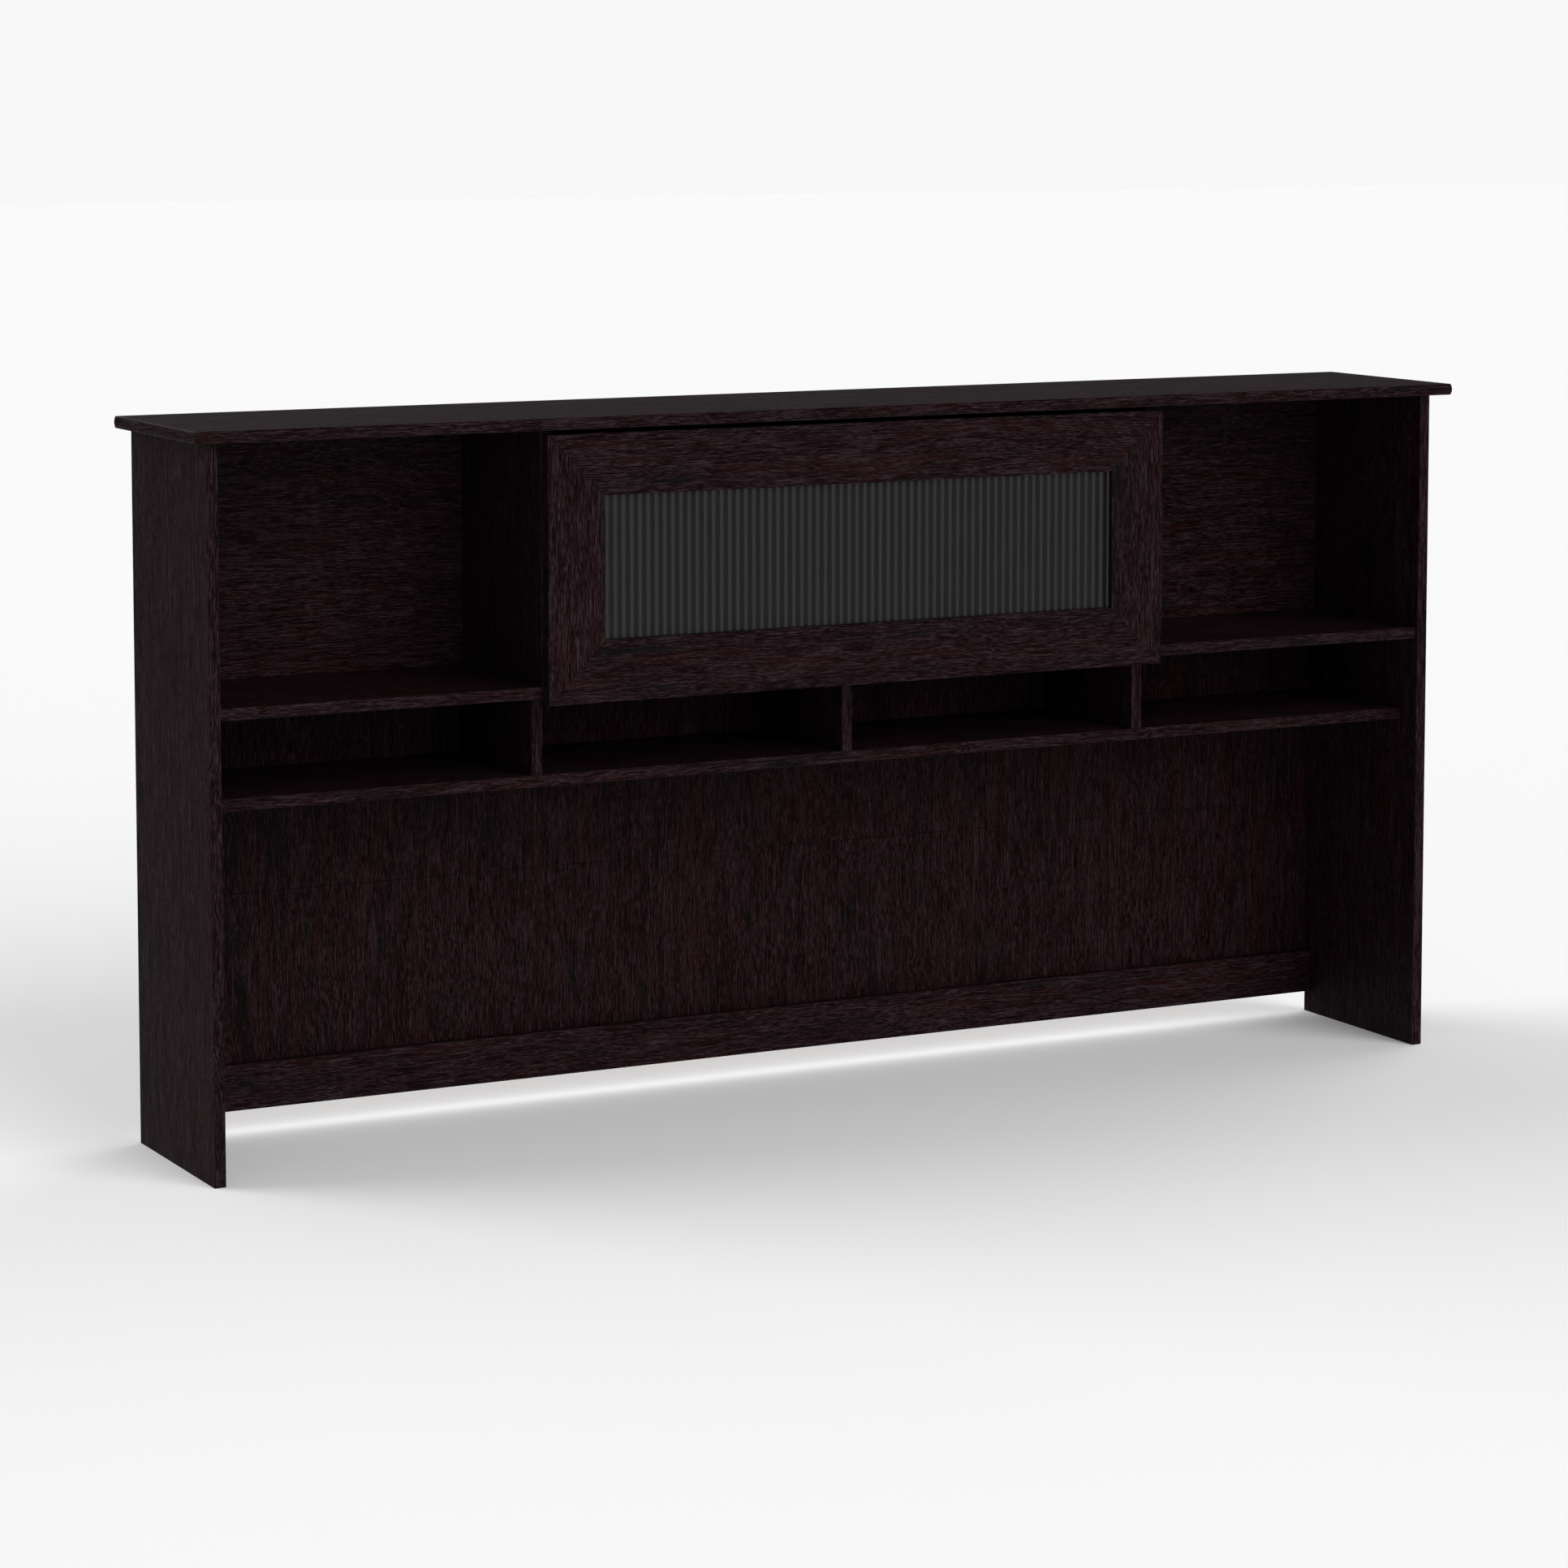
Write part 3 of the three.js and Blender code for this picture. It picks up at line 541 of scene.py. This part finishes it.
def fluted_pane():
    low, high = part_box("door_glass")
    flutes = round((high.x - low.x) / FLUTE_PITCH)
    steps = flutes * STEPS_PER_FLUTE
    outline = []
    for step in range(steps + 1):
        swell = (1 + math.cos(2 * math.pi * step / STEPS_PER_FLUTE)) / 2
        outline.append((low.x + (high.x - low.x) * step / steps, low.y + FLUTE_DEPTH * swell))
    outline += [(high.x, high.y), (low.x, high.y)]
    count = len(outline)
    verts = [(x, y, z) for z in (low.z, high.z) for x, y in outline]
    faces = [(i, (i + 1) % count, count + (i + 1) % count, count + i) for i in range(count)]
    rear_left, rear_right = count - 1, count - 2
    for step in range(steps):
        faces.append((step + 1, step, rear_left if step < steps / 2 else rear_right))
    faces.append((rear_left, rear_right, steps // 2))
    faces += [tuple(count + i for i in reversed(face)) for face in faces[count:]]
    pane = add_faces("fluted_pane", verts, faces, smoked_glass())
    for polygon in pane.data.polygons:
        polygon.use_smooth = abs(polygon.normal.z) < LEVEL_FACE
    pane.data.set_sharp_from_angle(angle=FLUTE_SMOOTHING)
    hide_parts("door_glass")
    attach(pane, "door")


fluted_pane()

# ---------------------------------------------------------------- folding hardboard back

LEAVES = ("back_panel_upper_leaf", "back_panel_lower_leaf")
LEAF_ARRIS = 0.05 * MM
FOLD_GAP = 0.25 * MM  # taken off each leaf, beside the gap that the CAD leaves
FOLD_DEPTH = 0.12 * MM
WEB_OVERLAP = 0.4 * MM  # of the paper behind each leaf
NAIL_PITCH = 147 * MM
NAIL_INSET = 7 * MM
NAIL_TO_FOLD = 20 * MM  # from the last nail to the fold
NAIL_SIDES = 16
NAIL_RADIUS = 2.6 * MM
NAIL_PROUD = 0.45 * MM
# Rings of a nail head, rim first: share of its radius, and height above the hardboard.
NAIL_RINGS = ((1.0, -0.1 * MM), (0.92, 0.55 * NAIL_PROUD), (0.6, 0.9 * NAIL_PROUD))


def rounded_box(name, low, high, radius, material):
    mesh = bmesh.new()
    bmesh.ops.create_cube(mesh, size=1)
    size = high - low
    for vert in mesh.verts:
        vert.co = Vector([low[i] + (vert.co[i] + 0.5) * size[i] for i in range(3)])
    bmesh.ops.bevel(
        mesh, geom=mesh.edges[:], offset=radius, segments=2, profile=0.5, affect="EDGES"
    )
    return add_shape(name, mesh, material)


def spaced(start, end, pitch):
    """Evenly spaced places from start up to end, both included, about a pitch apart."""
    steps = max(1, round((end - start) / pitch))
    return [start + (end - start) * step / steps for step in range(steps + 1)]


def nail_places(low, high, upper):
    """(x, z) of the nails along a leaf's outer edge and down both its sides, short of the fold."""
    left, right = low.x + NAIL_INSET, high.x - NAIL_INSET
    if upper:
        row = high.z - NAIL_INSET
        heights = spaced(low.z + NAIL_TO_FOLD, row, NAIL_PITCH)[:-1]
    else:
        row = low.z + NAIL_INSET
        heights = spaced(row, high.z - NAIL_TO_FOLD, NAIL_PITCH)[1:]
    places = [(x, row) for x in spaced(left, right, NAIL_PITCH)]
    for z in heights:
        places += [(left, z), (right, z)]
    return places


def nail_head(mesh, place):
    """A low dome on the rear face, its rim a little sunk."""
    loops = []
    for share, rise in NAIL_RINGS:
        reach = NAIL_RADIUS * share
        loops.append([
            mesh.verts.new(place + Vector((reach * math.cos(a), rise, reach * math.sin(a))))
            for a in around(NAIL_SIDES)
        ])
    for outer, inner in zip(loops, loops[1:]):
        bridge(mesh, outer, inner)
    crown = mesh.verts.new(place + Vector((0, NAIL_PROUD, 0)))
    for k in range(NAIL_SIDES):
        mesh.faces.new((loops[-1][k], crown, loops[-1][(k + 1) % NAIL_SIDES]))
    mesh.faces.new(loops[0])


def hardboard_back():
    """Both leaves, a hair thinner than their box so that the nail heads stay inside it."""
    material = printed_hardboard("printed_hardboard", seed=1)
    for name in LEAVES:
        low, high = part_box(name)
        upper = name == LEAVES[0]
        rear = high.y - NAIL_PROUD
        foot = Vector((low.x, low.y, low.z + (FOLD_GAP if upper else 0)))
        head = Vector((high.x, rear, high.z - (0 if upper else FOLD_GAP)))
        leaf = rounded_box(name.replace("back_panel", "hardboard"), foot, head, LEAF_ARRIS, material)
        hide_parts(name)
        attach(leaf, "carcass")

        mesh = bmesh.new()
        for x, z in nail_places(low, high, upper):
            nail_head(mesh, Vector((x, rear, z)))
        nails = add_smooth_shape(name.replace("back_panel", "nails"), mesh, PLAIN_ZINC)
        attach(nails, "carcass")


def fold_web():
    """The printed paper that runs on over the fold and closes the seam between the leaves. It is
    coloured near black, as painted shade in the seam.
    """
    above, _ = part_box(LEAVES[0])
    below_low, below_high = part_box(LEAVES[1])
    front = below_low.y + FOLD_DEPTH
    low = Vector((below_low.x + MM, front, below_high.z - WEB_OVERLAP))
    high = Vector((below_high.x - MM, front + 2 * FOLD_DEPTH, above.z + WEB_OVERLAP))
    # Near black: painted shade in the seam between the leaves.
    seam_shade = coated(
        "scored_seam_shade", srgb(9, 5, 5), roughness=0.7, skin_frequency=900, sheen=OAK_SHEEN
    )
    web = rounded_box("hardboard_fold", low, high, LEAF_ARRIS, seam_shade)
    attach(web, "carcass")


hardboard_back()
fold_web()

# ---------------------------------------------------------------- screws of the door fittings

CUP_SCREW_X = 23 * MM  # from the middle of a hinge cup
BRACKET_THICKNESS = 2 * MM
HEAD_SCREW_X = 5 * MM  # from the free end of the bracket on the door
HEAD_SCREW_Z = 9 * MM
FOOT_SCREW_Y = 9.5 * MM
FOOT_SCREW_Z = 7 * MM
SCREW_SIDES = 24
SCREW_RADIUS = 2.9 * MM
SCREW_CROWN = 1.3 * MM
SCREW_SMOOTHING = math.radians(40)
# Rings of a screw head, seat first: share of its radius, and share of its crown.
SCREW_RINGS = ((1.0, 0.0), (1.0, 0.3), (0.94, 0.62), (0.84, 0.86), (0.72, 1.0))
CROSS_HALF_WIDTH = 0.4 * MM
CROSS_HALF_LENGTH = 1.6 * MM
CROSS_TAPER = 0.8  # size of the recess at its floor, as a share of its size at the crown
CROSS_FLOOR = 0.3  # height of its floor, as a share of the crown


def cross_outline():
    """The twelve corners of the crossed recess, in order."""
    near, far = CROSS_HALF_WIDTH, CROSS_HALF_LENGTH
    half = ((near, near), (near, far), (-near, far), (-near, near), (-far, near), (-far, -near))
    return half + tuple((-x, -y) for x, y in half)


def pan_screw(mesh, place, toward):
    """A domed head with a crossed recess, seated at place and facing toward."""
    turn = Vector((0, 0, 1)).rotation_difference(Vector(toward)).to_matrix()

    def vert(x, y, z):
        return mesh.verts.new(place + turn @ Vector((x, y, z)))

    loops = []
    for share, rise in SCREW_RINGS:
        reach = SCREW_RADIUS * share
        loops.append([
            vert(reach * math.cos(a), reach * math.sin(a), SCREW_CROWN * rise)
            for a in around(SCREW_SIDES)
        ])
    cross = cross_outline()
    lip = [vert(x, y, SCREW_CROWN) for x, y in cross]
    pit = [vert(CROSS_TAPER * x, CROSS_TAPER * y, CROSS_FLOOR * SCREW_CROWN) for x, y in cross]
    for outer, inner in [*zip(loops, loops[1:]), (lip, pit)]:
        bridge(mesh, outer, inner)
    mesh.faces.new(loops[0])
    mesh.faces.new(pit)
    # A dict drops the repeats and keeps the order, so each run fills the crown in the same order.
    near_crown = dict.fromkeys(edge for corner in loops[-1] + lip for edge in corner.link_edges)
    rims = [edge for edge in near_crown if len(edge.link_faces) == 1]
    bmesh.ops.triangle_fill(mesh, use_beauty=True, edges=rims)


def fitting_screws():
    """Two on each hinge cup, and two on each bracket of the gas struts."""
    seats = {"door": [], "carcass": []}
    for side, inward in (("left", 1), ("right", -1)):
        low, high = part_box(f"{side}_hinge_cup")
        middle = (low + high) / 2
        for x in (-CUP_SCREW_X, CUP_SCREW_X):
            seats["door"].append((Vector((middle.x + x, high.y, middle.z)), (0, 1, 0)))
        low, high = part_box(f"{side}_stay_head_bracket")
        x = high.x - HEAD_SCREW_X if side == "left" else low.x + HEAD_SCREW_X
        for z in (-HEAD_SCREW_Z, HEAD_SCREW_Z):
            place = Vector((x, low.y + BRACKET_THICKNESS, (low.z + high.z) / 2 + z))
            seats["door"].append((place, (0, 1, 0)))
        low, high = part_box(f"{side}_stay_foot_bracket")
        middle = (low + high) / 2
        x = low.x + BRACKET_THICKNESS if side == "left" else high.x - BRACKET_THICKNESS
        for sign in (-1, 1):
            place = Vector((x, middle.y + sign * FOOT_SCREW_Y, middle.z - sign * FOOT_SCREW_Z))
            seats["carcass"].append((place, (inward, 0, 0)))
    for body, places in seats.items():
        mesh = bmesh.new()
        for place, toward in places:
            pan_screw(mesh, place, toward)
        screws = add_smooth_shape(f"{body}_fitting_screws", mesh, PLAIN_ZINC)
        screws.data.set_sharp_from_angle(angle=SCREW_SMOOTHING)
        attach(screws, body)


fitting_screws()

# ---------------------------------------------------------------- floor, light and world

WHITE = (1, 1, 1, 1)
BACKDROP = 0.94
FLOOR_ALBEDO = 0.8
FLOOR_GLOW = 0.10
FLOOR_HALF = 40
DOME_HORIZON = 0.085
DOME_ZENITH = 0.35
DOME_NADIR = 0.7  # seen in reflections only, where it stands for the bright floor
# Soft glows: middle, strength, and the cosines at which each starts and is full.
GLOWS = (
    ((-0.276, -0.961, 0.0), 0.6, 0.85, 0.95),
    ((-0.08, 0.91, 0.41), 0.9, 0.94, 0.985),
)
SUN_SPREAD = math.radians(50)
# Suns: the way their light goes, and their strength.
SUNS = {
    "key": ((-0.34, 0.84, -0.40), 2.5),
    "left_fill": ((0.62, 0.78, -0.05), 0.5),
    "fill": ((0.8, -0.6, -0.4), 2.3),
    "right_fill": ((-0.85, -0.35, -0.4), 1.2),
}


def make_floor():
    material, tree, shader = new_material("floor")
    tree.feed(shader, {
        "Base Color": (FLOOR_ALBEDO, FLOOR_ALBEDO, FLOOR_ALBEDO, 1),
        "Roughness": 0.9,
        "Specular IOR Level": 0.0,
        "Emission Color": WHITE,
        "Emission Strength": FLOOR_GLOW,
    })
    half = FLOOR_HALF
    corners = [(-half, -half, 0), (half, -half, 0), (half, half, 0), (-half, half, 0)]
    floor = add_faces("floor", corners, [(0, 1, 2, 3)], material)
    floor.visible_glossy = False


def make_world():
    """White to the camera; to everything else a dim dome with soft glows in front and behind.

    Reflections see it below the horizon too, because the floor is left out of them."""
    world = bpy.data.worlds.new("studio")
    world.use_nodes = True
    bpy.context.scene.world = world
    tree = Tree(world.node_tree)
    direction = tree.node("ShaderNodeTexCoord", out="Generated")
    rise = tree.split(direction)[2]
    above = tree.remap(rise, 0, 1, DOME_HORIZON, DOME_ZENITH)
    below = tree.remap(rise, 0, -1, 0, DOME_NADIR - DOME_HORIZON)
    dome = tree.math("ADD", above, below)
    for middle, strength, start, full in GLOWS:
        facing = tree.node(
            "ShaderNodeVectorMath", {0: direction, 1: middle}, out="Value", operation="DOT_PRODUCT"
        )
        dome = tree.math("ADD", dome, tree.remap(facing, start, full, 0, strength))
    seen = tree.node("ShaderNodeLightPath", out="Is Camera Ray")
    to_white = tree.math("MULTIPLY", seen, tree.math("SUBTRACT", BACKDROP, dome))
    background = world.node_tree.nodes["Background"]
    tree.feed(background, {"Color": WHITE, "Strength": tree.math("ADD", dome, to_white)})


def make_sun(name, toward, strength):
    """A soft sun that doesn't show in reflections."""
    data = bpy.data.lights.new(name, "SUN")
    data.energy = strength
    data.angle = SUN_SPREAD
    light = bpy.data.objects.new(name, data)
    light.rotation_euler = Vector(toward).to_track_quat("-Z", "Y").to_euler()
    light.visible_glossy = False
    bpy.context.scene.collection.objects.link(light)


make_floor()
make_world()
for sun, (toward, strength) in SUNS.items():
    make_sun(sun, toward, strength)
bpy.context.scene.view_settings.view_transform = "Standard"
